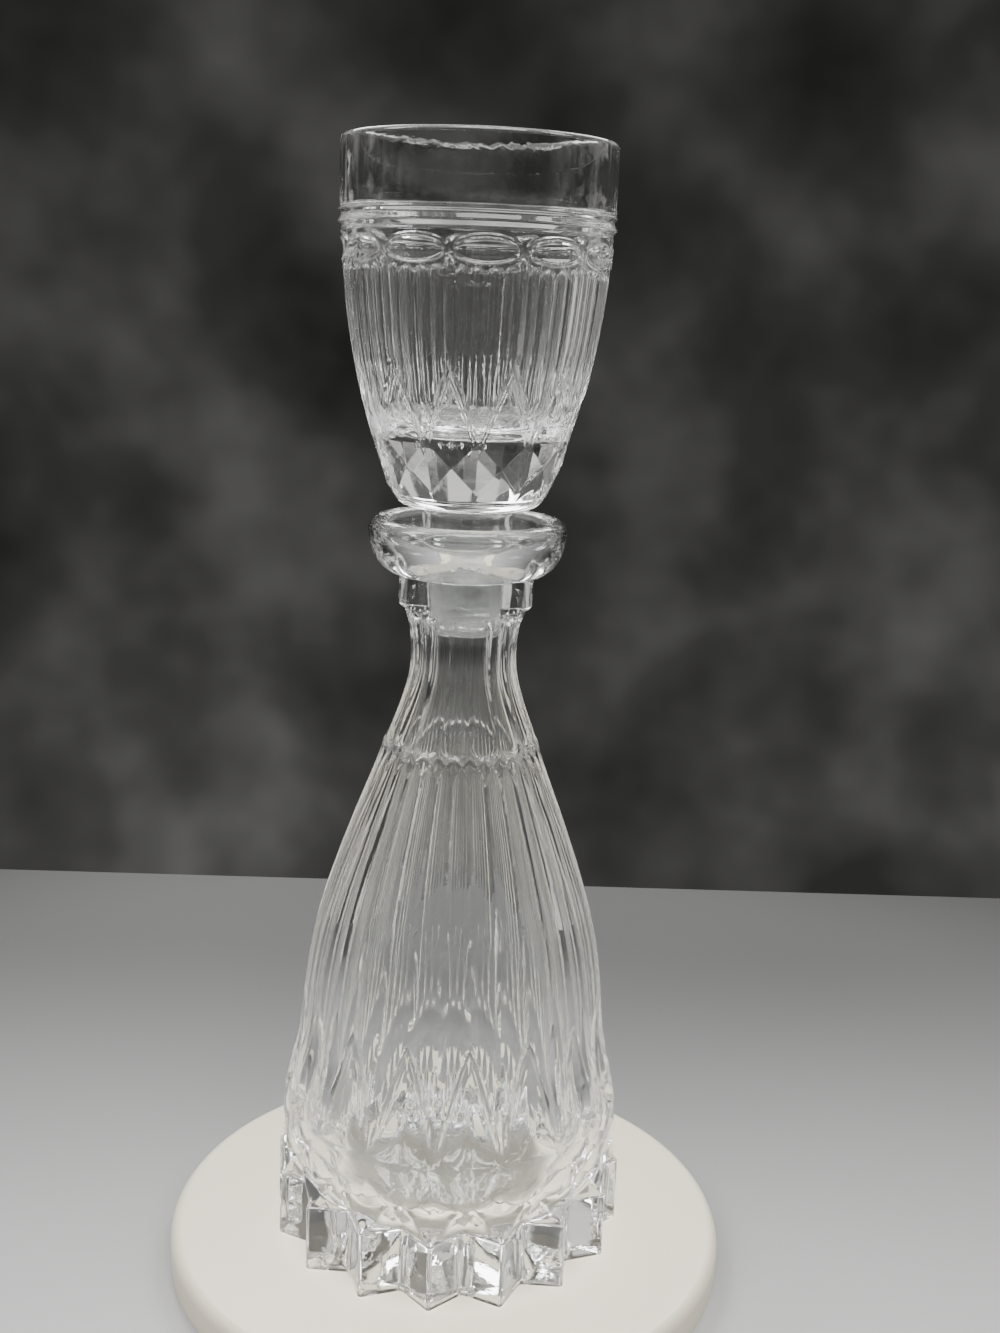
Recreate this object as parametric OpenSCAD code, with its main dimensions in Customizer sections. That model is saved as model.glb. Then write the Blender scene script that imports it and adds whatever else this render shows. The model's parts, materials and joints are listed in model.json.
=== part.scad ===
// Pressed crystal decanter with a cup stopper and a soft plug sleeve.
// Millimetres, +Z up, origin on the axis at the underside of the foot.
// Angles run from the -Y side, where one point of the foot faces.

/* [Foot] */
// Number of points round the foot, and of lancets above them
point_n = 16; // [12:2:20]
// Height of the upright walls of the points
foot_h = 17.5; // [15:0.5:20]
// Radius to the points
point_r = 45.8; // [45:0.1:49]
// Radius to the notches between the points
notch_r = 39; // [38:0.1:41]
// Height of the flat triangular facet above each point
facet_h = 7; // [5:0.5:9]
// Radius at the facet's two upper corners
facet_r = 43.6; // [42:0.1:44.5]
// How far the skin dips between two facets
facet_dip = 1; // [0.5:0.1:2]
// Radius of the hollow ground under the foot
hollow_r = 33; // [28:0.5:35]
// Radius of that hollow's flat ceiling
ceiling_r = 14; // [8:0.5:20]
// Depth of that hollow
hollow_d = 1.5; // [0.5:0.1:2.5]

/* [Body] */
// Radius of the flare above the foot
flare_r = 43.8; // [43:0.1:45]
// Height of the flare above the foot's walls
flare_rise = 13.5; // [12:0.5:16]
// Radius of the barrel, across the crests of its flutes
barrel_r = 39.2; // [37:0.1:41]
// Height of the barrel above the flare
barrel_rise = 26; // [22:0.5:30]
// Narrowest radius of the neck
neck_r = 13.1; // [12.6:0.1:14]
// Height of that narrowest place above the barrel
neck_rise = 96; // [85:1:110]
// Thickness of the glass behind the crests
wall_t = 4.6; // [3.8:0.1:4.8]
// Thickness of the glass under the liquid
floor_t = 12; // [9:0.5:14]
// Radius of the flat part of the inner floor
floor_r = 22; // [15:0.5:26]
// Height over which the inner floor curves up into the wall
floor_curve = 24; // [20:0.5:28]

/* [Cuts in the body] */
// Height of the lancets' feet above the foot's walls
lancet_rise = 20.5; // [18:0.5:24]
// Height of a lancet from its foot to its tip
lancet_h = 28; // [22:0.5:34]
// Depth of a lancet at its middle
lancet_d = 1.5; // [0.8:0.1:2]
// Depth of the flutes at the barrel
flute_d = 0.9; // [0.4:0.05:1.2]
// Height of the flutes' upper ends above the barrel
flute_rise = 72.5; // [60:0.5:78]
// Height of the arches that end the flutes
flute_arch_h = 5; // [3:0.5:7]
// Length over which a flute runs out at its end
runout = 1.5; // [1:0.1:2.5]
// Plain band between the body's flutes and the neck's
plain_h = 2.5; // [1.5:0.1:4]
// Depth of the broad flutes on the neck
neck_flute_d = 0.9; // [0.4:0.05:1.1]

/* [Mouth] */
// Height of the plain ring's underside above the neck's narrowest place
ring_rise = 13; // [11:0.5:16]
// Radius of the plain ring
ring_r = 16.4; // [16:0.1:18]
// Height of the plain ring
ring_h = 7.8; // [6:0.1:10]
// How far the plain ring stands proud of the fluted skin
ring_step = 0.3; // [0.2:0.05:0.5]
// Greatest radius of the lip
lip_r = 24.1; // [22:0.1:27]
// Height of the lip above the plain ring
lip_h = 13.5; // [12:0.5:17]
// Radius of the mouth inside the lip
mouth_r = 19; // [17:0.1:20]
// Radius of the sharp ledge under the lip's flare
ledge_r = 16.9; // [16.8:0.05:18]

/* [Sleeve] */
// Radius of the sleeve's flange
flange_r = 11.3; // [10.6:0.1:12]
// Thickness of the flange
flange_t = 3.5; // [2:0.1:5]
// Radius of the plug under its flange
plug_r = 9.2; // [9:0.1:9.6]
// Radius of the plug at its lower end
plug_tip_r = 8.1; // [7.9:0.1:8.6]
// Length of the plug below its flange
plug_l = 15; // [12:0.5:18]
// Rounding of the plug's lower edge
plug_round = 1.2; // [0.5:0.1:1.4]
// Thickness of the plug's closed end
plug_end_t = 1.8; // [1.2:0.1:3]

/* [Cup stopper] */
// Radius of the glass peg inside the sleeve
peg_r = 6; // [5:0.1:6.4]
// Radius of the collar that sits on the flange
collar_r = 11.3; // [10.6:0.1:12]
// Height of the collar
collar_h = 11.5; // [10.5:0.5:14]
// Height of the cut base between the collar and the lowest facets
base_rise = 3.5; // [2.5:0.1:5]
// Radius at the lowest facets
base_r = 18.6; // [17:0.1:20]
// Height of the facets from their lowest edge to the fluted wall
diamond_h = 31; // [27:0.5:34]
// Radius behind the facets' highest points
diamond_r = 28.2; // [27.5:0.1:29]
// Height of the flutes above the facets' highest points
cup_flute_h = 21.5; // [18:0.5:26]
// Depth of the cup's fine flutes
cup_flute_d = 0.5; // [0.3:0.05:0.7]
// Radius of the cup where its flutes end
cup_shoulder_r = 31.1; // [30.5:0.1:31.4]
// Height of the band that holds the ovals
oval_band_h = 8; // [7:0.5:10]
// Height of the ovals' middles above the flutes
oval_rise = 3.3; // [3:0.1:4.5]
// Depth of each oval cut
oval_d = 0.8; // [0.5:0.05:1]
// Radius of the wheel that cuts the ovals
oval_wheel_r = 3.9; // [3:0.1:5]
// Greatest radius of the cup, at the bead
cup_r = 32.3; // [32:0.1:33.5]
// Height of the bead
bead_h = 4.5; // [3.5:0.1:5.5]
// Height of the plain band above the bead
plain_band_h = 16; // [12:0.5:22]
// How far the oval band stands back from the bead
oval_step = 0.65; // [0.4:0.05:0.9]
// How far the plain band stands back from the bead
band_step = 0.3; // [0.2:0.05:0.5]
// Thickness of the glass at the rim
rim_t = 2.2; // [1.8:0.1:2.6]
// Thickness of the glass behind the cup's flutes
cup_wall_t = 3.4; // [2.8:0.1:4]
// Thickness of solid glass between the lowest facets and the drink
cup_floor_t = 14.5; // [12:0.5:18]
// Radius of the flat part of the cup's inner floor
cup_floor_r = 13; // [9:0.5:16]
// Height over which the cup's inner floor curves up
cup_curve = 11; // [9:0.5:14]
// Turn of the stopper against the foot's points, in degrees
stopper_turn = 8.5; // [0:0.1:30]

/* [Fits] */
// Running clearance of the peg in the sleeve
running_gap = 0.05; // [0.01:0.01:0.1]
// Clearance of the tapered plug in the neck
plug_gap = 0.15; // [0.1:0.05:0.3]
// Clearance of the collar and flange in the mouth
mouth_gap = 0.6; // [0.4:0.1:1]
// Clearance below the end of the peg
peg_end_gap = 0.5; // [0.3:0.1:1]

/* [Hidden] */
over = 1;
round_fn = 128;
seat_rise = 0.9;
peg_chamfer = 0.6;
skin_step = 0.25;
core_step = 3;
columns = 8;
panel_n = 12;
glass = [0.84, 0.88, 0.88, 0.45];
milky = [0.93, 0.93, 0.90, 0.8];

// Heights on the body, from the foot up
facet_z = foot_h + facet_h;
flare_z = foot_h + flare_rise;
barrel_z = flare_z + barrel_rise;
neck_z = barrel_z + neck_rise;
lancet_z = foot_h + lancet_rise;
tip_z = lancet_z + lancet_h;
flute_end_z = barrel_z + flute_rise;
plain_z = flute_end_z + plain_h;
ring_z = neck_z + ring_rise;
ledge_z = ring_z + ring_h;
lip_z = ledge_z + lip_h;

// Heights on the stopper, from the seat in the mouth up
seat_z = ledge_z + seat_rise;
flange_z = seat_z + flange_t;
plug_end_z = seat_z - plug_l;
peg_end_z = plug_end_z + plug_end_t + peg_end_gap;
collar_z = flange_z + collar_h;
base_z = collar_z + base_rise;
diamond_z = base_z + diamond_h;
cup_flute_z = diamond_z + cup_flute_h;
bead_z = cup_flute_z + oval_band_h;
band_z = bead_z + bead_h;
rim_z = band_z + plain_band_h;
cup_floor_z = base_z + cup_floor_t;

// Shares of the way from the barrel to the neck: height, radius and slope
shoulder_shares = [[0.25, 0.881, -0.77], [0.52, 0.575, -1.32], [0.77, 0.234, -1.21]];
// Slopes of the outline where it leaves the facets, the barrel and the neck
facet_slope_share = 0.05;
barrel_slope_share = -0.09;
ring_slope_share = 0.6;
// Half width of the facet above a point, as a share of the pitch
facet_share = 0.31;
// Column at which those facets end, as a share of the pitch
facet_column_share = 3 / 8;
// Heights at which a lancet's edge crosses the columns, as shares of its height
lancet_shares = [0, 0.34, 0.61, 0.84, 1];
// Depth of a lancet by columns in from its edge: a grooved border, then the bowl
lancet_depth_shares = [0, 0.5, 0.38, 0.85, 1];
// Rows between the facets and the lancets, as shares of that height
flare_shares = [0.35, 0.8];
// Corners of the cup's facets, as shares of their spread in radius and in height
facet_corner_shares = [[0.135, 0.065], [0.385, 0.26], [0.56, 0.46], [0.94, 1]];
// Slopes of the cup's outline at the facets, above them and at the ovals
cup_slope_shares = [0.3, 0.2, 0.07];
// Columns across half a panel of the cup, and how deep the cut is at each
cup_column_shares = [0, 0.125, 0.25, 0.33, 0.41, 0.5];
cup_depth_shares = [0, 1, 0, 0.8, 0, 1.1];
// Rows of the cup's fluted wall
wall_shares = [0.08, 0.25, 0.45, 0.65, 0.83, 1];
// Slope of the mouth where it leaves the seat
mouth_slope_share = 0.45;

shoulder_knots = [for (s = shoulder_shares)
    let (fall = barrel_r - neck_r)
    [barrel_z + s[0] * neck_rise, neck_r + s[1] * fall, s[2] * fall / neck_rise]];
body_knots = concat(
    [[facet_z, facet_r, facet_slope_share], [flare_z, flare_r, 0],
     [barrel_z, barrel_r, barrel_slope_share]],
    shoulder_knots,
    [[neck_z, neck_r, 0], [ring_z + over, ring_r - ring_step, ring_slope_share]]);

// Smooth curve through knots of place, value and slope
function curve_between(a, b, x) =
    let (d = b[0] - a[0], t = (x - a[0]) / d)
    a[1] * (1 - 3 * t * t + 2 * t * t * t) + b[1] * (3 * t * t - 2 * t * t * t)
    + d * (a[2] * (t - 2 * t * t + t * t * t) + b[2] * (t * t * t - t * t));
function curve(knots, x, i = 0) =
    i >= len(knots) - 2 || x <= knots[i + 1][0]
        ? curve_between(knots[i], knots[i + 1], x)
        : curve(knots, x, i + 1);

function ease(x) = let (t = min(1, max(0, x))) t * t * (3 - 2 * t);
function spot(r, a, z) = [r * sin(a), -r * cos(a), z];
function steps(from, to, n) = [for (i = [1:n]) from + (to - from) * i / n];

// Share of the pitch from the nearest point of the foot, 0 to 1/2, at column j
function column_share(j) =
    let (k = j % columns) min(k, columns - k) / columns;

function lancet_edge(z) =
    lookup((z - lancet_z) / lancet_h, [for (i = [0:columns / 2]) [lancet_shares[i], i / columns]]);
function lancet_cut(u, z) =
    let (steps_in = (u - lancet_edge(z)) * columns)
    lancet_d * lookup(steps_in, [for (i = [0:columns / 2]) [i, lancet_depth_shares[i]]]);

// Cut of one flute, which fills half a pitch and ends in an arch
function flute_cut(u, z) =
    let (x = 4 * u - 1, end_z = flute_end_z - flute_arch_h * x * x)
    flute_d * (1 - x * x) * curve(body_knots, z) / barrel_r * ease((end_z - z) / runout);
function neck_cut(u, z) =
    neck_flute_d * (1 - 4 * u * u) * ease((z - plain_z) / runout) * ease((ring_z - runout - z) / runout);
function flare_cut(u, z) =
    let (s = (z - facet_z) / (lancet_z - facet_z))
    4 * u * (1 - u) * (lancet_d * pow(s, 4) + facet_dip * (1 - s) * (1 - s));
function body_cut(u, z) =
    z < lancet_z ? flare_cut(u, z)
    : z <= tip_z && u >= lancet_edge(z) ? lancet_cut(u, z)
    : z < flute_end_z ? flute_cut(u, z)
    : neck_cut(u, z);

// Rows of the body's skin, each with the same number of columns
body_columns = point_n * columns;
function core_row(z) = [for (j = [0:body_columns - 1])
    spot(notch_r - core_step, j * 360 / body_columns, z)];
function foot_row(z) = [for (j = [0:body_columns - 1])
    let (notch = j % columns == columns / 2, p = round(j / columns))
    notch ? spot(notch_r - skin_step, j * 360 / body_columns, z)
          : spot(point_r - skin_step, p % point_n * 360 / point_n, z)];
function facet_row() =
    let (pitch = 360 / point_n, half = facet_share * pitch)
    [for (j = [0:body_columns - 1])
        let (u = column_share(j), gap = u > facet_column_share,
             a = gap ? u * pitch : u / facet_column_share * half,
             side = j % columns < columns / 2 ? 1 : -1)
        spot(gap ? facet_r - facet_dip : facet_r * cos(half) / cos(a),
             round(j / columns) * pitch + side * a, facet_z)];
function body_row(z) = [for (j = [0:body_columns - 1])
    spot(curve(body_knots, z) - body_cut(column_share(j), z), j * 360 / body_columns, z)];
body_heights = concat(
    [for (s = flare_shares) facet_z + s * (lancet_z - facet_z)],
    [for (s = lancet_shares) lancet_z + s * lancet_h],
    steps(tip_z, flute_end_z - flute_arch_h, 8),
    [flute_end_z - runout, flute_end_z, plain_z, plain_z + runout],
    steps(plain_z + runout, ring_z - 2 * runout, 5),
    [ring_z - runout, ring_z + over]);

// Faces between rows of equal length, with a diagonal mirrored about each ridge
function open_faces(pts, tris) = [for (t = tris)
    if (pts[t[0]] != pts[t[1]] && pts[t[1]] != pts[t[2]] && pts[t[2]] != pts[t[0]]) t];
function quad(a, b, c, d, lean) = lean ? [[a, d, c], [a, c, b]] : [[a, d, b], [b, d, c]];
module skin(rows, pitch_columns) {
    n = len(rows[0]);
    pts = [for (row = rows) each row];
    last = n * (len(rows) - 1);
    sides = [for (i = [0:len(rows) - 2], j = [0:n - 1])
        let (k = (j + 1) % n)
        each quad(i * n + j, i * n + k, (i + 1) * n + k, (i + 1) * n + j,
                  j % pitch_columns < pitch_columns / 2)];
    lower = [for (j = [0:n - 1]) if (pts[j] != pts[(j + 1) % n]) j];
    upper = [for (j = [n - 1:-1:0]) if (pts[last + j] != pts[last + (j + 1) % n]) last + j];
    polyhedron(points = pts, faces = concat(open_faces(pts, sides), [lower], [upper]));
}

// Inner outline of a vessel, from its floor up: half of a revolved section
function hollow_outline(floor_z, flat_r, curve_h, wall_r) =
    [for (a = [0:7.5:90]) [flat_r + (wall_r - flat_r) * sin(a), floor_z + curve_h * (1 - cos(a))]];

// Inside of the body, up through the neck and the seat to the mouth
bore_r = plug_r + plug_gap;
bore_low_r = plug_tip_r + plug_gap;
curve_z = floor_t + floor_curve;
lip_round = (lip_r - mouth_r) / 2;
lip_round_z = lip_z - lip_round;
mouth_knots = [[seat_z, flange_r + mouth_gap, mouth_slope_share], [lip_round_z, mouth_r, 0]];
module body_hollow() {
    wall = [for (z = steps(curve_z, neck_z, 24)) [max(bore_low_r, curve(body_knots, z) - wall_t), z]];
    mouth = [for (z = steps(seat_z, lip_round_z, 12)) [curve(mouth_knots, z), z]];
    rotate_extrude($fn = round_fn)
        polygon(concat([[0, floor_t]],
            hollow_outline(floor_t, floor_r, floor_curve, curve(body_knots, curve_z) - wall_t),
            wall,
            [[bore_low_r, plug_end_z], [bore_r, seat_z], [flange_r + mouth_gap, seat_z]],
            mouth, [[mouth_r, lip_z + over], [0, lip_z + over]]));
}

// Outside of the lip: a bowl that springs from the sharp ledge
module lip_and_ring() {
    bowl = [for (a = [0:15:90])
        [ledge_r + (lip_r - ledge_r) * sin(a), ledge_z + (lip_round_z - ledge_z) * (1 - cos(a))]];
    top = [for (a = [15:15:180])
        [lip_r - lip_round * (1 - cos(a)), lip_round_z + lip_round * sin(a)]];
    rotate_extrude($fn = round_fn)
        polygon(concat([[0, ring_z], [ring_r, ring_z], [ring_r, ledge_z]],
            bowl, top, [[0, lip_round_z]]));
}

module star_foot() {
    linear_extrude(foot_h)
        polygon([for (i = [0:2 * point_n - 1])
            let (r = i % 2 == 0 ? point_r : notch_r, a = i * 180 / point_n)
            [r * sin(a), -r * cos(a)]]);
}

module decanter_body() {
    color(glass) difference() {
        union() {
            star_foot();
            skin(concat([core_row(foot_h - over), foot_row(foot_h - skin_step), facet_row()],
                [for (z = body_heights) body_row(z)]), columns);
            lip_and_ring();
        }
        body_hollow();
        translate([0, 0, -over])
            cylinder(r = hollow_r, h = over, $fn = round_fn);
        cylinder(r1 = hollow_r, r2 = ceiling_r, h = hollow_d, $fn = round_fn);
    }
}

// Soft sleeve: a flanged cap that fills the neck round the glass peg
module stopper_sleeve() {
    color(milky) rotate_extrude($fn = round_fn)
        polygon(concat(
            [[0, plug_end_z]],
            [for (a = [0:30:90])
                [plug_tip_r - plug_round + plug_round * sin(a), plug_end_z + plug_round * (1 - cos(a))]],
            [[plug_r, seat_z], [flange_r, seat_z], [flange_r, flange_z],
             [peg_r + running_gap, flange_z], [peg_r + running_gap, plug_end_z + plug_end_t],
             [0, plug_end_z + plug_end_t]]));
}

// Corners of the cup's facets as radius and height, from the lowest up;
// the first and third stand under an oval, the others between two ovals
facet_corners = [for (s = facet_corner_shares)
    [base_r + s[0] * (diamond_r - base_r), base_z + s[1] * diamond_h]];

// Outline of the cup behind its flutes
cup_knots = [
    [facet_corners[2][1], facet_corners[2][0], cup_slope_shares[0]],
    [diamond_z, diamond_r, cup_slope_shares[1]],
    [cup_flute_z, cup_shoulder_r - skin_step, cup_slope_shares[2]]];

// Columns of the cup's skin across one panel, from the middle of an oval
half_columns = len(cup_column_shares);
panel_columns = 2 * half_columns - 2;
cup_columns = panel_n * panel_columns;
function mirrored(j) = let (k = j % panel_columns) min(k, panel_columns - k);
function panel_share(j) = cup_column_shares[mirrored(j)];
function panel_angle(j) =
    let (k = j % panel_columns, u = panel_share(j))
    (floor(j / panel_columns) + (k < half_columns ? u : 1 - u)) * 360 / panel_n;

// Point on the straight edge between two corners, as radius and height
function edge_point(c, e, u) =
    let (a = u * 360 / panel_n, b = 180 / panel_n - a, w = c[0] * sin(a) + e[0] * sin(b))
    u == 0 ? c : u == 1 / 2 ? e
    : [c[0] * e[0] * sin(a + b) / w, c[1] + (e[1] - c[1]) * c[0] * sin(a) / w];
function edge_row(c, e) = [for (j = [0:cup_columns - 1])
    let (p = edge_point(c, e, panel_share(j))) spot(p[0], panel_angle(j), p[1])];
function base_row() = [for (j = [0:cup_columns - 1]) spot(base_r, panel_angle(j), base_z)];

// Row of the fluted wall, a share t of the way from the facets to the ovals
function wall_row(t) = [for (j = [0:cup_columns - 1])
    let (p = edge_point(facet_corners[2], facet_corners[3], panel_share(j)),
         z = p[1] + t * (cup_flute_z - runout - p[1]),
         back = (curve(cup_knots, p[1]) - p[0]) * (1 - t) * (1 - t),
         cut = cup_flute_d * cup_depth_shares[mirrored(j)] * ease((z - p[1]) / runout))
    spot(curve(cup_knots, z) - back - cut, panel_angle(j), z)];
function top_row(z) = [for (j = [0:cup_columns - 1])
    spot(cup_shoulder_r - skin_step, panel_angle(j), z)];

module cup_base() {
    rotate_extrude($fn = round_fn)
        polygon(concat(
            [[0, peg_end_z], [peg_r - peg_chamfer, peg_end_z], [peg_r, peg_end_z + peg_chamfer],
             [peg_r, flange_z], [collar_r, flange_z], [collar_r, collar_z]],
            [for (a = [0:15:90])
                [collar_r + (base_r - skin_step - collar_r) * sin(a), collar_z + base_rise * (1 - cos(a))]],
            [[base_r - skin_step, base_z + over], [0, base_z + over]]));
}

module cup_bands() {
    oval_top_r = cup_r - oval_step;
    band_r = cup_r - band_step;
    rim_round = rim_t / 2;
    bead = [for (a = [0:15:180])
        [(a < 90 ? oval_top_r : band_r) + (a < 90 ? oval_step : band_step) * sin(a),
         bead_z + bead_h * (1 - cos(a)) / 2]];
    rim = [for (a = [0:15:180])
        [band_r - rim_round * (1 - cos(a)), rim_z - rim_round + rim_round * sin(a)]];
    rotate_extrude($fn = round_fn)
        polygon(concat([[0, cup_flute_z], [cup_shoulder_r, cup_flute_z]], bead, rim,
            [[0, rim_z - rim_round]]));
}

module cup_hollow() {
    low_z = cup_floor_z + cup_curve;
    wall = [for (z = steps(low_z, cup_flute_z, 8)) [curve(cup_knots, z) - cup_wall_t, z]];
    rim_in_r = cup_r - band_step - rim_t;
    rotate_extrude($fn = round_fn)
        polygon(concat([[0, cup_floor_z]],
            hollow_outline(cup_floor_z, cup_floor_r, cup_curve, curve(cup_knots, low_z) - cup_wall_t),
            wall,
            [[rim_in_r, band_z], [rim_in_r, rim_z + over], [0, rim_z + over]]));
}

// Ovals: a wheel lying along the wall sinks a little way into it
module ovals() {
    oval_z = cup_flute_z + oval_rise;
    wall_r = (cup_shoulder_r + cup_r - oval_step) / 2;
    wheel_w = 2 * cup_r * sin(180 / panel_n);
    for (i = [0:panel_n - 1])
        rotate(i * 360 / panel_n)
            translate([0, -wall_r - oval_wheel_r + oval_d, oval_z])
                rotate([0, 90, 0])
                    cylinder(r = oval_wheel_r, h = wheel_w, center = true, $fn = round_fn / 2);
}

module cup_stopper() {
    color(glass) rotate(stopper_turn) difference() {
        union() {
            cup_base();
            skin(concat(
                [base_row(),
                 edge_row(facet_corners[0], facet_corners[1]),
                 edge_row(facet_corners[2], facet_corners[1]),
                 edge_row(facet_corners[2], facet_corners[3])],
                [for (t = wall_shares) wall_row(t)],
                [top_row(cup_flute_z), top_row(cup_flute_z + over)]), panel_columns);
            cup_bands();
        }
        ovals();
        cup_hollow();
    }
}

decanter_body();
cup_stopper();
stopper_sleeve();
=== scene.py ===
"""Crystal decanter with a cup stopper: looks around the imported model."""
import json
import math

import bmesh
import bpy
import numpy as np
from mathutils import Matrix, Vector

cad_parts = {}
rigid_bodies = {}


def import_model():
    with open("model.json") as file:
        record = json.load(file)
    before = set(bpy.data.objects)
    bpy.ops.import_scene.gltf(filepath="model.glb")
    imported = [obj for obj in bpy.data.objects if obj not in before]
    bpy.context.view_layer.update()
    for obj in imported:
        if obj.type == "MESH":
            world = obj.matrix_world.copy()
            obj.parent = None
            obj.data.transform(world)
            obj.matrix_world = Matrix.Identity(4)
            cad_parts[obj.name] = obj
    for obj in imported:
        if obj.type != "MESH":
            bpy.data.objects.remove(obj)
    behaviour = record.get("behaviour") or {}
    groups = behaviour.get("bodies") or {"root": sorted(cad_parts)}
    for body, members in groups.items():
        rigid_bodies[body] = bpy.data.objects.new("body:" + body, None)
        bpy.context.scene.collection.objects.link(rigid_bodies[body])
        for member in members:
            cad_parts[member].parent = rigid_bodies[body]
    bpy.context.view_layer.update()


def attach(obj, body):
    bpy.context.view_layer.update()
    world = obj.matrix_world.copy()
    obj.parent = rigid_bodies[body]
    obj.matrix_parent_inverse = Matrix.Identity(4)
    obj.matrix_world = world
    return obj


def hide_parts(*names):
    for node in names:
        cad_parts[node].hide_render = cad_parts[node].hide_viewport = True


MM = 0.001

# An edge of the glass sharper than this stays sharp, in degrees. The facets have a
# higher limit, because narrow rows of faces already round their edges
SHARP_LIMIT = 30.0
FACET_LIMIT = 60.0

# Sizes of the glass in millimetres. The large ones are those of the solid model. The
# depths of the cuts and the rounded edges are the visible glass's own. A corner is a list
# of places on a rounded corner, out and up from where its sides would meet

# Foot, the hollow under it, and the facets over its points
POINTS = 16
FOOT_H = 17.5
POINT_R = 45.8
NOTCH_R = 39.0
HOLLOW_R = 33.0
CEILING_R = 14.0
HOLLOW_D = 1.5
HOLLOW_CORNER = [(-0.5, 0.04), (0.0, 0.0)]
FACET_Z = 24.5
FACET_R = 43.6
# Half the width of a facet's upper edge as a share of the pitch, the same in columns, and
# the depth of the dip between two facets
FACET_SHARE = 0.31
FACET_COLUMN_SHARE = 3 / 8
FACET_DIP = 1.0
# Where the facets start: how far in from the foot's upper edge, and how far over it
FACET_START_IN = 0.12
FACET_START_UP = 0.1

# Fire-polished edges of the foot: how far they are rounded, and how far along the sides
# of a point the roundings of its tip and of the notch beside it reach
FOOT_ROUND = 0.55
TIP_CUT = 0.9
NOTCH_CUT = 0.7
# Shares: how much further in than the sides an inset brings the tip, how much of its cut
# the tip loses, and how much of its cut fills the bottom of a notch
TIP_INSET_SHARE = 1.35
TIP_LOSS_SHARE = 0.42
NOTCH_FILL_SHARE = 0.3

# Barrel, shoulder and neck
FLARE_Z = 31.0
FLARE_R = 43.8
BARREL_Z = 57.0
BARREL_R = 39.2
NECK_Z = 153.0
NECK_R = 13.1
RING_Z = 166.0
RING_R = 16.4
RING_CORNER = [(-0.35, 0.0), (-0.1, 0.12), (0.0, 0.4)]

# Lancets: depth and width of the border, and of the bowl inside it with the place where
# it starts, widths and place in columns
LANCET_Z = 38.0
LANCET_H = 28.0
BORDER_D = 0.7
BORDER_W = 1.8
BOWL_D = 1.4
BOWL_START = 2
BOWL_W = 12
# Height over which they deepen at their feet, and how quickly
LANCET_FOOT_H = 6.0
LANCET_FOOT_POWER = 2.2
# Their edge: shares of the height and of the pitch that it passes through
EDGE_RISE_SHARES = [0, 0.34, 0.61, 0.84, 1]
EDGE_PITCH_SHARES = [0, 0.125, 0.25, 0.375, 0.5]

# Flutes: the power gives the ridges between them their roundness, and they fade out
# under their arches, which reach FLUTE_TOP_Z
FLUTE_POWER = 1.15
FLUTE_D = 1.15
FLUTE_ARCH_H = 5.0
FLUTE_END_Z = 129.5
FLUTE_TOP_Z = FLUTE_END_Z + 0.6
FLUTE_FADE_H = 0.9
# Flutes of the neck, over the height that parts them from those of the shoulder
PARTING_Z = FLUTE_END_Z + 1
PLAIN_Z = 132.0
NECK_FLUTE_D = 0.6
NECK_LOW_Z = PLAIN_Z - 1.0
NECK_FOOT_H = 2.2
NECK_TOP_Z = RING_Z - 0.6
NECK_ARCH_H = 3.2
NECK_FADE_H = 1.4

# Raised wavy line between the flutes and those of the neck
RIDGE_Z = 131.0
RIDGE_H = 0.25
RIDGE_WAVE = 0.7
RIDGE_W = 0.5

# Lip, mouth, bore and inside
LEDGE_Z = 173.8
LEDGE_R = 16.9
LEDGE_CORNER = [(0.0, -0.3), (0.1, -0.08), (0.35, 0.0)]
LIP_R = 24.1
LIP_Z = 187.3
MOUTH_R = 19.0
SEAT_Z = 174.7
SEAT_R = 11.9
SEAT_EDGE_H = 0.3
SEAT_CORNER = [(-0.1, 0.05), (-0.5, 0.0)]
BORE_R = 9.35
BORE_CORNER = [(0.3, 0.0), (0.0, -0.3)]
BORE_LOW_R = 8.25
PLUG_END_Z = 159.7
BORE_END_CORNER = [(0.02, 0.3), (0.0, -1)]
WALL_T = 4.6
FLOOR_T = 12.0
FLOOR_R = 22.0
FLOOR_CURVE = 24.0

# Cup: peg, collar, and the facets of its base
PANELS = 12
CUP_TURN = 8.5
PEG_R = 6.0
PEG_END_Z = 162.0
PEG_CHAMFER = 0.6
FLANGE_Z = 178.2
COLLAR_R = 11.3
COLLAR_CHAMFER = 0.4
COLLAR_Z = 189.7
# The collar's straight side ends this far below its top. The curve to the base starts
# and ends this far below the collar's top and the base, and ends this far in from the base
COLLAR_END_D = 0.3
CURVE_D = 0.1
CURVE_IN = 0.5
BASE_Z = 193.2
BASE_R = 18.6
BASE_CORNER = [(-0.15, -0.06), (0.0, 0.1)]
DIAMOND_H = 31.0
DIAMOND_Z = 224.2
DIAMOND_R = 28.2
# Corners of the facets: shares of the way from the base to the diamonds' tips, out and up
CORNER_SHARES = ((0.135, 0.065), (0.385, 0.26), (0.56, 0.46), (0.94, 1))
# How far a facet's edge is rounded
EDGE_ROUND = 0.35
# Grooved border under the facets' upper edges: distance below the edge, and depth
CUP_BORDER = [
    (3.8, 0.0), (3.1, 0.42), (2.4, 0.0), (1.7, 0.0), (1.1, 0.4), (0.5, 0.0), (0.0, 0.0)]

# Cup: flutes, ovals, bead, bands and rim
CUP_FLUTE_Z = 245.7
CUP_FLUTE_D = 0.5
CUP_SHOULDER_R = 31.1
# How far the flutes take to fade out at their upper ends and at the facets, and how far
# the wall takes to leave the facets' edge
CUP_FADE_H = 0.7
CUP_FOOT_FADE_H = 1.5
CUP_EDGE_FADE_H = 2.5
# Where the flutes of a panel meet, as shares of the panel from the middle of an oval
FLUTE_EDGE_SHARES = (0.25, 0.41)
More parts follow.
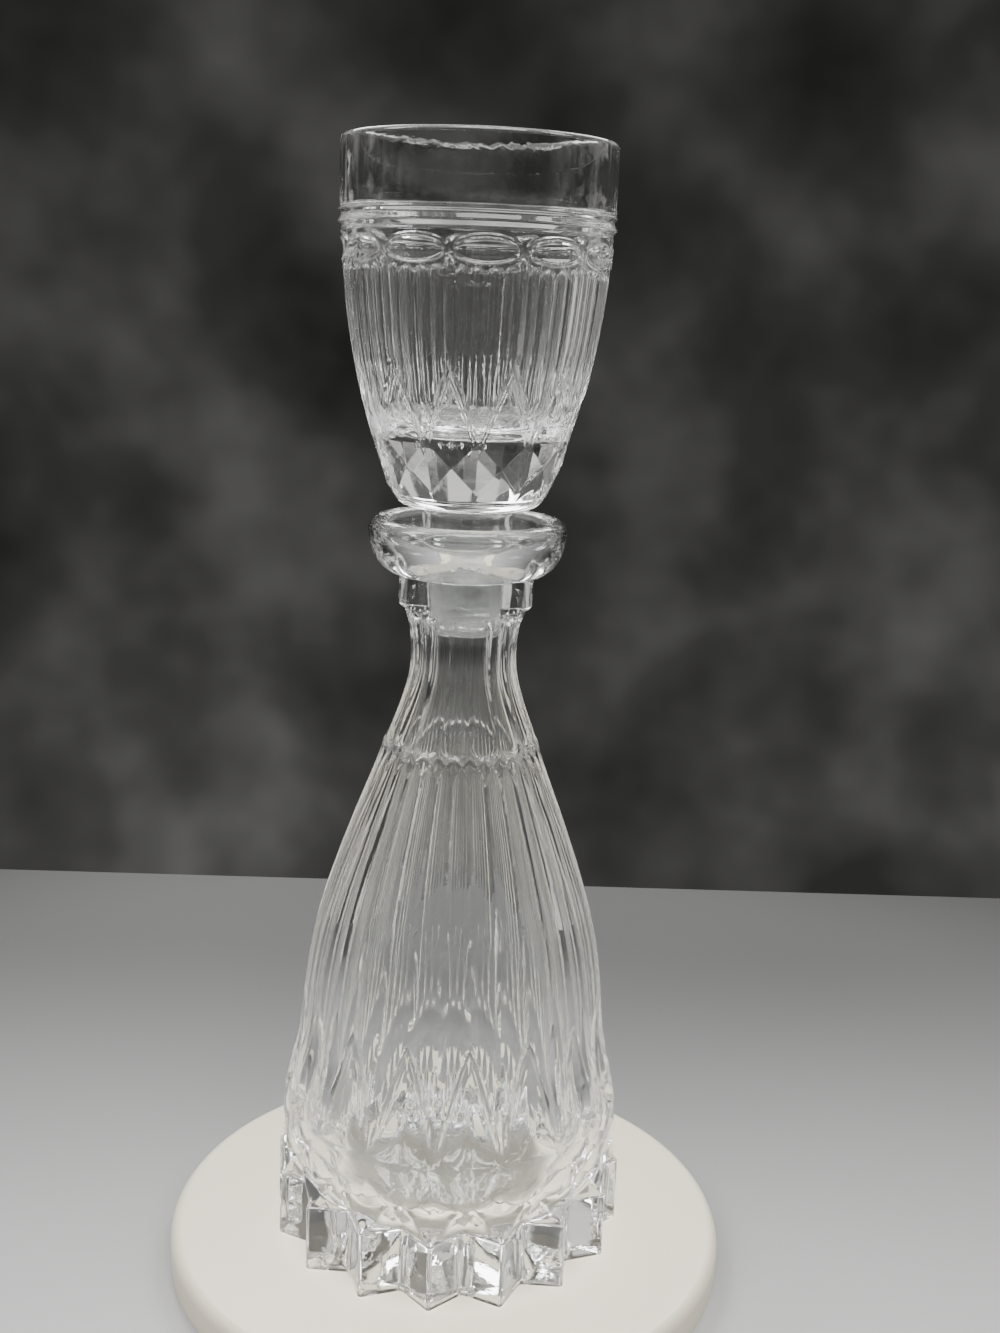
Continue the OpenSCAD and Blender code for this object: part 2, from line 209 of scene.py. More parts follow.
# Each flute: middle and half width in shares of the panel, relative depth, height of its
# upper end over CUP_FLUTE_Z, and height of its arch
CUP_FLUTES = [
    (0.125, 0.125, 1.0, -0.2, 1.3), (0.33, 0.08, 0.8, 0.2, 1.3), (0.5, 0.09, 1.1, 2.2, 3.4)]
# Change from the fluted wall to the one behind the ovals: how far below CUP_FLUTE_Z it
# starts, and its height
SHOULDER_D = 1.5
SHOULDER_H = 2.5
OVAL_BAND_R = 31.65
OVAL_Z = 249.0
OVAL_D = 0.66
OVAL_WHEEL_R = 3.9
# How softly an oval's edge runs out into the wall
OVAL_SOFT = 0.08
# Half width and half height of an oval, and half the height of its close rows of faces
OVAL_SIZE = (6.35, 2.12)
OVAL_ROWS_H = 3.1
# Raised line round an oval and the groove outside it: distance from the oval's edge, how
# far each stands out, and half its width
OVAL_LINES = [(0.35, 0.3, 0.24), (1.0, -0.06, 0.3)]
BEAD_Z = 253.7
BAND_Z = 258.2
# How far the bead's close rows of faces reach past it
BEAD_REACH = 0.5
# Mouldings of the bead: height, how far each stands out, and half its height
MOULDINGS = [(257.7, 0.26, 0.4), (256.7, -0.3, 0.45), (255.2, 0.6, 0.7), (253.8, -0.26, 0.4)]
PLAIN_BAND_R = 32.0
RIM_Z = 274.2
RIM_T = 2.2

# Cup: inside, straight at the top, with a wall that is a little thicker at the shoulder
INSIDE_TOP_Z = BAND_Z + 6
CUP_WALL_T = 3.4
SHOULDER_EXTRA_T = 0.1
CUP_FLOOR_Z = 207.7
CUP_FLOOR_R = 13.0
CUP_CURVE = 11.0

# Outline knots: height, radius and slope
BODY_KNOTS = [
    (FACET_Z, FACET_R, 0.05), (FLARE_Z, FLARE_R, 0.0), (BARREL_Z, BARREL_R, -0.09),
    (81.0, 36.1, -0.209), (106.92, 28.11, -0.359), (130.92, 19.21, -0.329),
    (NECK_Z, NECK_R, 0.0), (RING_Z + 1, RING_R - 0.3, 0.6)]
CUP_KNOTS = [
    (207.46, 23.98, 0.3), (DIAMOND_Z, DIAMOND_R, 0.2), (CUP_FLUTE_Z, CUP_SHOULDER_R, 0.07)]

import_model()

# Light turns many times inside cut glass before it leaves
light_paths = bpy.context.scene.cycles
light_paths.max_bounces = 32
light_paths.glossy_bounces = 24
light_paths.transmission_bounces = 24


def curve(knots, x):
    """Smooth curve through knots of place, value and slope."""
    x = np.asarray(x, float)
    out = np.zeros_like(x)
    for i, (a, b) in enumerate(zip(knots[:-1], knots[1:])):
        here = x >= a[0] if i else np.ones_like(x, bool)
        d = b[0] - a[0]
        t = (x - a[0]) / d
        t2, t3 = t * t, t * t * t
        v = (a[1] * (1 - 3 * t2 + 2 * t3) + b[1] * (3 * t2 - 2 * t3)
             + d * (a[2] * (t - 2 * t2 + t3) + b[2] * (t3 - t2)))
        out = np.where(here, v, out)
    return out


def ease(x):
    """0 below 0, 1 above 1, and a smooth rise between."""
    t = np.clip(x, 0, 1)
    return t * t * (3 - 2 * t)


def steps(a, b, n):
    """n places after a, the last one at b."""
    return [a + (b - a) * i / n for i in range(1, n + 1)]


def quarter(c, a, b, n):
    """n points after a round a quarter of an ellipse with centre c, from a to b."""
    c, a, b = (np.array(p, float) for p in (c, a, b))
    return [tuple(c + (a - c) * math.cos(t) + (b - c) * math.sin(t))
            for t in steps(0, math.pi / 2, n)]


def corner(r, z, places):
    """Points of a rounded corner whose sides would meet at r and z."""
    return [(r + out, z + up) for out, up in places]


def ring(r, z, angles):
    """One row of points: azimuth runs from -Y towards +X."""
    r = np.broadcast_to(r, angles.shape)
    z = np.broadcast_to(z, angles.shape)
    return np.stack([r * np.sin(angles), -r * np.cos(angles), z], axis=-1)


def skin_object(name, rows, start, end, leans, facets):
    """Closed mesh through rows of points, with a fan to one point at each end.

    leans[i] says how the quads above row i are cut: None leaves them whole.
    facets is the first and last row of the facets.
    """
    n = rows[0].shape[0]
    pts = np.concatenate(rows + [np.array([start, end], float)]) * MM
    faces = []
    first, last = len(pts) - 2, len(pts) - 1
    for i in range(len(rows) - 1):
        lean = leans[i]
        for j in range(n):
            k = (j + 1) % n
            a, b, c, d = i * n + j, i * n + k, (i + 1) * n + k, (i + 1) * n + j
            if lean is None:
                faces.append((a, b, c, d))
            elif lean[j]:
                faces += [(a, b, c), (a, c, d)]
            else:
                faces += [(a, b, d), (b, c, d)]
    top = (len(rows) - 1) * n
    for j in range(n):
        k = (j + 1) % n
        faces.append((first, k, j))
        faces.append((last, top + j, top + k))
    mesh = bpy.data.meshes.new(name)
    mesh.from_pydata(pts.tolist(), [], faces)
    obj = bpy.data.objects.new(name, mesh)
    bpy.context.scene.collection.objects.link(obj)
    bm = bmesh.new()
    bm.from_mesh(mesh)
    facet_mark = bm.verts.layers.int.new("facet")
    for vert in list(bm.verts)[facets[0] * n:(facets[1] + 1) * n]:
        vert[facet_mark] = 1
    bmesh.ops.remove_doubles(bm, verts=bm.verts, dist=2e-6)
    bmesh.ops.dissolve_degenerate(bm, edges=bm.edges, dist=1e-6)
    for face in bm.faces:
        face.smooth = True
    for edge in bm.edges:
        inside = edge.verts[0][facet_mark] and edge.verts[1][facet_mark]
        limit = FACET_LIMIT if inside else SHARP_LIMIT
        edge.smooth = edge.calc_face_angle(0.0) < math.radians(limit)
    bm.verts.layers.int.remove(facet_mark)
    bm.to_mesh(mesh)
    bm.free()
    return obj


# Columns of the body: HALF steps from the middle of a point to the middle of a notch. A
# column's u is its share of the pitch, from 0 at the point to 0.5 at the notch
HALF = 16
COLS = POINTS * 2 * HALF
col = np.arange(COLS)
col_in_pitch = col % (2 * HALF)
k_body = np.minimum(col_in_pitch, 2 * HALF - col_in_pitch)
side_body = np.where(col_in_pitch > HALF, -1.0, 1.0)
# The column in the middle of a notch belongs to the point before it
point_body = np.round(col / (2 * HALF) + np.where(col_in_pitch == HALF, -0.1, 0.0))
point_angle = point_body * 2 * math.pi / POINTS
ang_body = col * 2 * math.pi / COLS
u_body = k_body / (2 * HALF)
lean_body = col_in_pitch < HALF


def from_half(path):
    """Row made of a path over half a pitch, given as x (sideways) and r (outwards)."""
    x = path[k_body, 0] * side_body
    r = path[k_body, 1]
    z = path[k_body, 2]
    ca, sa = np.cos(point_angle), np.sin(point_angle)
    return np.stack([r * sa + x * ca, -r * ca + x * sa, z], axis=-1)


def star_path(inset, z):
    """Star outline from tip to notch, its corners rounded, as x, r and z."""
    pitch = math.pi / POINTS
    inner = np.array([math.sin(pitch), math.cos(pitch)])
    tip = np.array([0.0, POINT_R - inset * TIP_INSET_SHARE])
    notch = np.array([(NOTCH_R - inset) * inner[0], (NOTCH_R - inset) * inner[1]])
    length = np.linalg.norm(notch - tip)
    run = (notch - tip) / length
    n_tip = int(FACET_COLUMN_SHARE * 2 * HALF)
    n_side = HALF - n_tip - 1
    out = np.zeros((HALF + 1, 3))
    out[:, 2] = z
    start, end = tip + np.array([0.0, -TIP_CUT * TIP_LOSS_SHARE]), tip + run * TIP_CUT
    middle = np.array([end[0] * 0.5, start[1]])
    for k in range(n_tip + 1):
        t = k / n_tip
        out[k, :2] = (1 - t) ** 2 * start + 2 * t * (1 - t) * middle + t * t * end
    side_end = tip + run * (length - NOTCH_CUT)
    for m in range(1, n_side + 1):
        out[n_tip + m, :2] = end + (side_end - end) * (m / n_side)
    out[HALF, :2] = notch + inner * NOTCH_CUT * NOTCH_FILL_SHARE
    return out


def gap_path(z):
    """Outline above the facets: a flat chord over each point, then the dip between two."""
    half = FACET_SHARE * 2 * math.pi / POINTS
    out = np.zeros((HALF + 1, 3))
    for k in range(HALF + 1):
        u = k / (2 * HALF)
        if u <= FACET_COLUMN_SHARE:
            a = u / FACET_COLUMN_SHARE * half
            r = FACET_R * math.cos(half) / math.cos(a)
        else:
            s = (u - FACET_COLUMN_SHARE) / (0.5 - FACET_COLUMN_SHARE)
            a = half + s * (math.pi / POINTS - half)
            r = FACET_R - FACET_DIP * s * (2 - s)
        out[k] = (r * math.sin(a), r * math.cos(a), z)
    return out


def lancet_edge(z):
    """Share of the pitch at which a lancet's edge lies."""
    return np.interp((z - LANCET_Z) / LANCET_H, EDGE_RISE_SHARES, EDGE_PITCH_SHARES)


def lancet_height(u):
    """Height at which a lancet's edge crosses a share of the pitch."""
    return LANCET_Z + LANCET_H * np.interp(u, EDGE_PITCH_SHARES, EDGE_RISE_SHARES)


def scoop(x):
    """Section of a flute with rounded ridges: x runs from -1 to 1 across it."""
    return np.maximum(1 - x * x, 0) ** FLUTE_POWER


def flute(u, z):
    """Depth of the flutes, one to each half pitch, with arched upper ends."""
    x = 4 * u - 1
    size = curve(BODY_KNOTS, z) / BARREL_R
    end = FLUTE_TOP_Z - FLUTE_ARCH_H * x * x
    return FLUTE_D * size * scoop(x) * ease((end - z) / FLUTE_FADE_H)


def lancet(u, z):
    """Depth of the lancets: a narrow border inside the edge, then the bowl."""
    m = (u - lancet_edge(z)) * 2 * HALF
    bowl = BORDER_D * ease(m / BORDER_W) + BOWL_D * ease((m - BOWL_START) / BOWL_W)
    low = np.clip((z - LANCET_Z) / LANCET_FOOT_H, 0, 1)
    return bowl * (1 - (1 - low) ** LANCET_FOOT_POWER)


def neck_flute(u, z):
    """Depth of the neck's flutes, one to each pitch, arched at both ends."""
    x = 2 * u
    top = NECK_TOP_Z - NECK_ARCH_H * x * x
    foot = NECK_LOW_Z + NECK_FOOT_H * x * x
    return (NECK_FLUTE_D * scoop(x) * ease((z - foot) / NECK_FADE_H)
            * ease((top - z) / NECK_FADE_H))


def body_radius(u, z):
    """Radius of the body over the facets, with all its cuts."""
    s = np.clip((z - FACET_Z) / (LANCET_Z - FACET_Z), 0, 1)
    dip = 4 * u * (1 - u) * FACET_DIP * (1 - s) ** 2
    arch = np.where(u < lancet_edge(z), flute(u, z), lancet(u, z))
    cut = np.where(z < LANCET_Z, dip, np.where(z < PARTING_Z, arch, neck_flute(u, z)))
    off = (z - RIDGE_Z - RIDGE_WAVE * np.cos(4 * math.pi * u)) / RIDGE_W
    return curve(BODY_KNOTS, z) - cut + RIDGE_H * np.exp(-off ** 2)


def lip_outline():
    """Outline of the ring, the lip, the mouth, the seat and the bore."""
    lip_round = (LIP_R - MOUTH_R) / 2
    top, crest = LIP_Z - lip_round, LIP_R - lip_round
    out = corner(RING_R, RING_Z, RING_CORNER) + corner(RING_R, LEDGE_Z, LEDGE_CORNER)
    out += quarter((LEDGE_R, top), (LEDGE_R, LEDGE_Z), (LIP_R, top), 16)
    out += quarter((crest, top), (LIP_R, top), (crest, LIP_Z), 9)
    out += quarter((crest, top), (crest, LIP_Z), (MOUTH_R, top), 9)
    mouth = [(SEAT_Z, SEAT_R, 0.45), (top, MOUTH_R, 0.0)]
    out += [(float(curve(mouth, z)), z) for z in steps(top, SEAT_Z + SEAT_EDGE_H, 14)]
    out += corner(SEAT_R, SEAT_Z, SEAT_CORNER) + corner(BORE_R, SEAT_Z, BORE_CORNER)
    return out + corner(BORE_LOW_R, PLUG_END_Z, BORE_END_CORNER)


def inside_outline():
    """Outline of the body's inside, from the neck down to the floor."""
    curve_z = FLOOR_T + FLOOR_CURVE
    out = [(max(BORE_LOW_R, float(curve(BODY_KNOTS, z)) - WALL_T), z)
           for z in steps(NECK_Z, curve_z, 44)]
    out += quarter((FLOOR_R, curve_z), (out[-1][0], curve_z), (FLOOR_R, FLOOR_T), 14)
    return out + [(FLOOR_R * 0.6, FLOOR_T), (FLOOR_R * 0.25, FLOOR_T)]


def body_rows():
    """Rows from the underside over the outside, the lip and the bore to the floor.

    With them go the cut of the quads over each row, and the first and last row of facets.
    """
    rows, leans = [], []

    def add(row, lean=None):
        rows.append(row)
        leans.append(lean)

    def add_wall(z, lean=None):
        add(ring(body_radius(u_body, np.full(COLS, z)), z, ang_body), lean)

    # Underside: ceiling of the hollow, its cone, then the flat ring
    ceiling = [(CEILING_R * 0.5, HOLLOW_D), (CEILING_R, HOLLOW_D)]
    for r, z in ceiling + corner(HOLLOW_R, 0.0, HOLLOW_CORNER):
        add(ring(r, z, ang_body))
    # Sides of the points, with rounded lower and upper edges
    turns = [(math.sin(t), math.cos(t)) for t in map(math.radians, (30, 60, 90))]
    add(from_half(star_path(FOOT_ROUND, 0.0)))
    for sine, cosine in turns:
        add(from_half(star_path(FOOT_ROUND * (1 - sine), FOOT_ROUND * (1 - cosine))))
    top = FOOT_H - FOOT_ROUND
    add(from_half(star_path(0, top)))
    for sine, cosine in turns:
        add(from_half(star_path(FOOT_ROUND * (1 - cosine), top + FOOT_ROUND * sine)))
    # Facets over the points
    low = star_path(FOOT_ROUND + FACET_START_IN, FOOT_H + FACET_START_UP)
    high = gap_path(FACET_Z)
    first = len(rows)
    for t in steps(0, 1, 10):
        add(from_half(low + (high - low) * t))
    last = len(rows) - 1
    for z in steps(FACET_Z, LANCET_Z, 14):
        add_wall(z)
    # The lancets' edges cross one column at each of these rows
    leans[-1] = lean_body
    for k in range(1, HALF + 1):
        add_wall(float(lancet_height(k / (2 * HALF))), lean_body if k < HALF else None)
    # The rest of the wall, in closer rows where flutes end
    places = (LANCET_Z + LANCET_H, FLUTE_END_Z - 4, PLAIN_Z + 4, RING_Z - 5, RING_Z - 0.1)
    for low_z, high_z, count in zip(places[:-1], places[1:], (22, 26, 14, 14)):
        for z in steps(low_z, high_z, count):
            add_wall(z)
    for r, z in lip_outline() + inside_outline():
        add(ring(r, z, ang_body))
    return rows, leans, (first, last)


rows, leans, facets = body_rows()
body = skin_object("decanter_glass", rows, (0, 0, HOLLOW_D), (0, 0, FLOOR_T), leans, facets)

# Columns of the cup: PHALF steps from the middle of an oval to the edge of its panel. A
# column's u is its share of the panel, from 0 at the oval to 0.5 at the edge
cup_share = np.concatenate([
    np.linspace(0, FLUTE_EDGE_SHARES[0], 15), np.linspace(*FLUTE_EDGE_SHARES, 10)[1:],
    np.linspace(FLUTE_EDGE_SHARES[1], 0.5, 7)[1:]])
PHALF = len(cup_share) - 1
PCOLS = PANELS * 2 * PHALF
pcol = np.arange(PCOLS)
col_in_panel = pcol % (2 * PHALF)
u_cup = cup_share[np.minimum(col_in_panel, 2 * PHALF - col_in_panel)]
share_in_panel = np.where(col_in_panel > PHALF, 1 - u_cup, u_cup)
ang_cup = ((pcol // (2 * PHALF)) + share_in_panel) * 2 * math.pi / PANELS
ang_cup = ang_cup + math.radians(CUP_TURN)
CORNERS = [(BASE_R + s * (DIAMOND_R - BASE_R), BASE_Z + t * DIAMOND_H)
           for s, t in CORNER_SHARES]


def edge_line(c, e):
    """Radius and height along the straight edge from corner c to corner e, by column."""
    half = math.pi / PANELS
    a = u_cup * 2 * half
    w = c[0] * np.sin(a) + e[0] * np.sin(half - a)
    r = c[0] * e[0] * math.sin(half) / w
    z = c[1] + (e[1] - c[1]) * c[0] * np.sin(a) / w
    return r, z


def cup_flute(u, z, foot):
    """Depth of the cup's flutes: the one between two ovals rises to a point."""
    spans = [u < edge for edge in FLUTE_EDGE_SHARES]
    middle, half, deep, rise, arch = (
        np.select(spans, list(values[:-1]), values[-1]) for values in zip(*CUP_FLUTES))
    x = (u - middle) / half
    size = curve(CUP_KNOTS, z) / CUP_SHOULDER_R
    end = CUP_FLUTE_Z + rise - arch * x * x
    cut = CUP_FLUTE_D * deep * size * scoop(x) * ease((end - z) / CUP_FADE_H)
    return cut * ease((z - foot) / CUP_FOOT_FADE_H)


def band_radius(z):
    """Wall behind the ovals, from the shoulder up to the bead."""
    out = (OVAL_BAND_R - CUP_SHOULDER_R) * (z - CUP_FLUTE_Z) / (BEAD_Z - CUP_FLUTE_Z)
    return CUP_SHOULDER_R + out


def bead_radius(z):
    """Bead between the ovals and the plain band, with its mouldings."""
    up = ease((z - BEAD_Z) / (BAND_Z - BEAD_Z))
    wall = OVAL_BAND_R + (PLAIN_BAND_R - OVAL_BAND_R) * up
    return float(wall) + sum(
        out * math.exp(-((z - at) / half) ** 2) for at, out, half in MOULDINGS)


def oval_rim(x, dz):
    """Raised line round an oval, with a faint groove outside it."""
    wide, tall = OVAL_SIZE
    e = np.sqrt((x / wide) ** 2 + (dz / tall) ** 2) + 1e-6
    off = (e - 1) * e / np.sqrt((x / wide ** 2) ** 2 + (dz / tall ** 2) ** 2 + 1e-9)
    return sum(out * np.exp(-((off - at) / half) ** 2) for at, out, half in OVAL_LINES)


def soft_min(a, b, k):
    """The smaller of two, with a rounded change from one to the other."""
    h = np.clip(0.5 + 0.5 * (b - a) / k, 0, 1)
    return b + (a - b) * h - k * h * (1 - h)


def cup_wall_radius(z, foot):
    """Radius of the cup over its facets: flutes, and the ovals that a wheel cut."""
    blend = ease((z - CUP_FLUTE_Z + SHOULDER_D) / SHOULDER_H)
    wall = (1 - blend) * curve(CUP_KNOTS, z) + blend * band_radius(z)
    r = wall - cup_flute(u_cup, np.full(PCOLS, z), foot)
    dz = z - OVAL_Z
    if abs(dz) >= OVAL_WHEEL_R:
        return r
    off = u_cup * 2 * math.pi / PANELS
    wheel = (CUP_SHOULDER_R + OVAL_BAND_R) / 2 + OVAL_WHEEL_R - OVAL_D
    cut = (wheel - math.sqrt(OVAL_WHEEL_R ** 2 - dz * dz)) / np.cos(off)
    rim = oval_rim(off * wall, dz)
    return soft_min(r + rim, cut + np.maximum(rim, 0), OVAL_SOFT)


def peg_outline():
    """Outline of the peg, the collar and the curve out to the cup's base."""
    out = [(PEG_R * 0.5, PEG_END_Z), (PEG_R - PEG_CHAMFER, PEG_END_Z)]
    out += [(PEG_R, PEG_END_Z + PEG_CHAMFER), (PEG_R, FLANGE_Z)]
    out += [(COLLAR_R - COLLAR_CHAMFER, FLANGE_Z), (COLLAR_R, FLANGE_Z + COLLAR_CHAMFER)]
    out += [(COLLAR_R, COLLAR_Z - COLLAR_END_D)]
    start, low = COLLAR_Z - CURVE_D, BASE_Z - CURVE_D
    out += quarter((COLLAR_R, low), (COLLAR_R, start), (BASE_R - CURVE_IN, low), 12)
    return out + corner(BASE_R, BASE_Z, BASE_CORNER)


def rim_outline():
    """Outline of the bead, the plain band, the rim and the cup's inside."""
    rows = steps(BEAD_Z - BEAD_REACH, BAND_Z + BEAD_REACH, 44)
    out = [(bead_radius(z), z) for z in rows]
    half_rim = RIM_T / 2
    top, crest, inner = RIM_Z - half_rim, PLAIN_BAND_R - half_rim, PLAIN_BAND_R - RIM_T
    out += [(PLAIN_BAND_R, BAND_Z + 0.9), (PLAIN_BAND_R, BAND_Z + 8), (PLAIN_BAND_R, top)]
    out += quarter((crest, top), (PLAIN_BAND_R, top), (crest, RIM_Z), 8)
    out += quarter((crest, top), (crest, RIM_Z), (inner, top), 8)
    low = CUP_FLOOR_Z + CUP_CURVE
    wall = [(low, float(curve(CUP_KNOTS, low)) - CUP_WALL_T, 0.28),
            (CUP_FLUTE_Z, CUP_SHOULDER_R - CUP_WALL_T - SHOULDER_EXTRA_T, 0.12),
            (INSIDE_TOP_Z, inner, 0.0)]
    out += [(inner, INSIDE_TOP_Z + 3)]
    out += [(float(curve(wall, z)), z) for z in steps(INSIDE_TOP_Z, low, 24)]
    out += quarter((CUP_FLOOR_R, low), (out[-1][0], low), (CUP_FLOOR_R, CUP_FLOOR_Z), 12)
    return out + [(CUP_FLOOR_R * 0.6, CUP_FLOOR_Z), (CUP_FLOOR_R * 0.25, CUP_FLOOR_Z)]


def cup_rows():
    """Rows from the peg's end over the outside and the rim to the cup's floor.

    With them go the cut of the quads over each row, and the first and last row of facets.
    """
    rows = [ring(r, z, ang_cup) for r, z in peg_outline()]
    first = len(rows) - 1

    def add_between(low, high, t, cut=0.0):
        (r0, z0), (r1, z1) = low, high
        rows.append(ring(r0 + (r1 - r0) * t - cut, z0 + (z1 - z0) * t, ang_cup))

    # Triangles and kites, each between two lines of edges
    base = tuple(np.full(PCOLS, v) for v in peg_outline()[-1])
    lines = [base, edge_line(CORNERS[0], CORNERS[1]), edge_line(CORNERS[2], CORNERS[1]),
             edge_line(CORNERS[2], CORNERS[3])]
    for low, high in zip(lines[:-2], lines[1:-1]):
        soft = EDGE_ROUND / np.maximum(high[1] - low[1], 4 * EDGE_ROUND)
        for t in (soft, 0.5, 1 - soft, 1):
            add_between(low, high, t)
    # The upper facets, which end in the grooved border
    low, high = lines[-2:]
    span = np.maximum(high[1] - low[1], 1e-3)
    plain = np.maximum(1 - CUP_BORDER[0][0] / span, 0)
    for t in (EDGE_ROUND / span, 0.3, 0.65, 1):
        add_between(low, high, plain * np.minimum(t, 1))
    for below, deep in CUP_BORDER[1:]:
        up = np.maximum(1 - below / span, 0)
        add_between(low, high, up, deep * np.minimum(up * span, 1))
    last = len(rows) - 1
    # Fluted wall, which starts along the facets' zigzag edge, in closer rows at its foot
    edge_r, foot = high
    back = np.maximum(curve(CUP_KNOTS, foot) - edge_r, 0)
    low_top = CUP_FLUTE_Z - 4.0
    for t in steps(0, 1, 30):
        z = foot + t ** 1.6 * (low_top - foot)
        wall = curve(CUP_KNOTS, z) - back * (1 - ease((z - foot) / CUP_EDGE_FADE_H))
        rows.append(ring(wall - cup_flute(u_cup, z, foot), z, ang_cup))
    oval_low, oval_high = OVAL_Z - OVAL_ROWS_H, OVAL_Z + OVAL_ROWS_H
    for z in (steps(low_top, oval_low, 12) + steps(oval_low, oval_high, 44)
              + steps(oval_high, BEAD_Z - BEAD_REACH, 4)):
        rows.append(ring(cup_wall_radius(z, foot), z, ang_cup))
    rows += [ring(r, z, ang_cup) for r, z in rim_outline()]
    return rows, [None] * len(rows), (first, last)


rows, leans, facets = cup_rows()
cup = skin_object("cup_glass", rows, (0, 0, PEG_END_Z), (0, 0, CUP_FLOOR_Z), leans, facets)


def new_material(name):
    """New material, with its nodes, links and shader."""
    mat = bpy.data.materials.new(name)
    mat.use_nodes = True
    nodes = mat.node_tree.nodes
    return mat, nodes, mat.node_tree.links, nodes["Principled BSDF"]


def add_node(nodes, kind, values):
    """Node of one kind, with values for some of its inputs."""
    node = nodes.new(kind)
    for socket, value in values.items():
        node.inputs[socket].default_value = value
    return node


def mix_node(nodes, links, kind, a, b):
    """Mix of two colours, its inputs 6 and 7, by one of Blender's blend types."""
    mix = add_node(nodes, "ShaderNodeMix", {"Factor": 1.0})
    mix.data_type = "RGBA"
    mix.blend_type = kind
    links.new(a, mix.inputs[6])
    links.new(b, mix.inputs[7])
    return mix


def glass_material(name, tint):
    """Pressed crystal: clear, with slow waves in the surface and faint wipe marks."""
    mat, nodes, links, shader = new_material(name)
    shader.inputs["Base Color"].default_value = (*tint, 1)
    shader.inputs["Transmission Weight"].default_value = 1.0
    shader.inputs["IOR"].default_value = 1.54
    place = nodes.new("ShaderNodeTexCoord")
    wave = add_node(nodes, "ShaderNodeTexNoise", {"Scale": 90.0, "Detail": 1.5})
    fine = add_node(nodes, "ShaderNodeTexNoise", {"Scale": 420.0, "Detail": 2.0})
    bump = add_node(nodes, "ShaderNodeBump", {"Strength": 0.35, "Distance": 0.0002})
    ripple = add_node(nodes, "ShaderNodeBump", {"Strength": 0.5, "Distance": 0.00004})
    wipe = add_node(nodes, "ShaderNodeMapRange",
                    {"From Min": 0.45, "From Max": 0.75, "To Min": 0.0, "To Max": 0.035})
    for noise in (wave, fine):
        links.new(place.outputs["Object"], noise.inputs["Vector"])
    links.new(wave.outputs["Fac"], bump.inputs["Height"])
    links.new(fine.outputs["Fac"], ripple.inputs["Height"])
    links.new(bump.outputs["Normal"], ripple.inputs["Normal"])
    links.new(ripple.outputs["Normal"], shader.inputs["Normal"])
    links.new(fine.outputs["Fac"], wipe.inputs["Value"])
    links.new(wipe.outputs["Result"], shader.inputs["Roughness"])
    return mat


def plastic_material():
    """Milky soft plastic: light passes, but is scattered, and its tone is uneven."""
    mat, nodes, links, shader = new_material("milky_plastic")
    shader.inputs["Transmission Weight"].default_value = 0.8
    shader.inputs["IOR"].default_value = 1.45
    place = nodes.new("ShaderNodeTexCoord")
    cloud = add_node(nodes, "ShaderNodeTexNoise", {"Scale": 170.0, "Detail": 3.0})
    ramp = nodes.new("ShaderNodeValToRGB")
    for mark, at, colour in zip(ramp.color_ramp.elements, (0.35, 0.65),
                                ((0.5, 0.51, 0.5, 1), (0.97, 0.98, 0.96, 1))):
        mark.position = at
        mark.color = colour
    rough = add_node(nodes, "ShaderNodeMapRange", {"To Min": 0.04, "To Max": 0.2})
    bump = add_node(nodes, "ShaderNodeBump", {"Strength": 0.4, "Distance": 0.0005})
    links.new(place.outputs["Object"], cloud.inputs["Vector"])
    links.new(cloud.outputs["Fac"], ramp.inputs["Fac"])
    links.new(cloud.outputs["Fac"], rough.inputs["Value"])
    links.new(cloud.outputs["Fac"], bump.inputs["Height"])
    links.new(ramp.outputs["Color"], shader.inputs["Base Color"])
    links.new(rough.outputs["Result"], shader.inputs["Roughness"])
    links.new(bump.outputs["Normal"], shader.inputs["Normal"])
    return mat


body.data.materials.append(glass_material("crystal_body", (0.925, 0.935, 0.93)))
cup.data.materials.append(glass_material("crystal_cup", (0.965, 0.972, 0.968)))
# Clear glass lets the lamps' light through to the sleeve and the floor
body.visible_shadow = False
cup.visible_shadow = False
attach(body, "decanter")
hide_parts("decanter_body")
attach(cup, "cup")
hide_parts("cup_stopper")
milky = plastic_material()
for obj in bpy.data.objects:
    if obj.type == "MESH" and obj.name.startswith("stopper_sleeve"):
        for slot in obj.material_slots:
            slot.material = milky

# Camera, at the photograph's place and angle
CAMERA_AZIMUTH = 4.46


def camera_matrix(azimuth, distance, height, yaw, pitch, roll):
    """Camera's place round the object, in degrees and millimetres, and where it looks."""
    turn = Matrix.Rotation(math.radians(azimuth), 3, "Z")
    yaw, pitch, roll = (math.radians(v) for v in (yaw, pitch, roll))
    flat = math.cos(pitch)
    ahead = Vector((math.sin(yaw) * flat, math.cos(yaw) * flat, -math.sin(pitch)))
    right = Vector((math.cos(yaw), -math.sin(yaw), 0))
    up = right.cross(ahead)
    right, up = (right * math.cos(roll) + up * math.sin(roll),
                 up * math.cos(roll) - right * math.sin(roll))
    m = Matrix((turn @ right, turn @ up, turn @ -ahead)).transposed().to_4x4()
    m.translation = turn @ Vector((0, -distance * MM, height * MM))
    return m


camera_data = bpy.data.cameras.new("camera")
camera = bpy.data.objects.new("camera", camera_data)
bpy.context.scene.collection.objects.link(camera)
camera_data.sensor_fit = "HORIZONTAL"
camera_data.sensor_width = 36.0
camera_data.lens = 54.94
camera_data.clip_start = 0.01
camera.matrix_world = camera_matrix(
    CAMERA_AZIMUTH, distance=368.1, height=238.9, yaw=1.41, pitch=13.51, roll=2.2)
bpy.context.scene.camera = camera


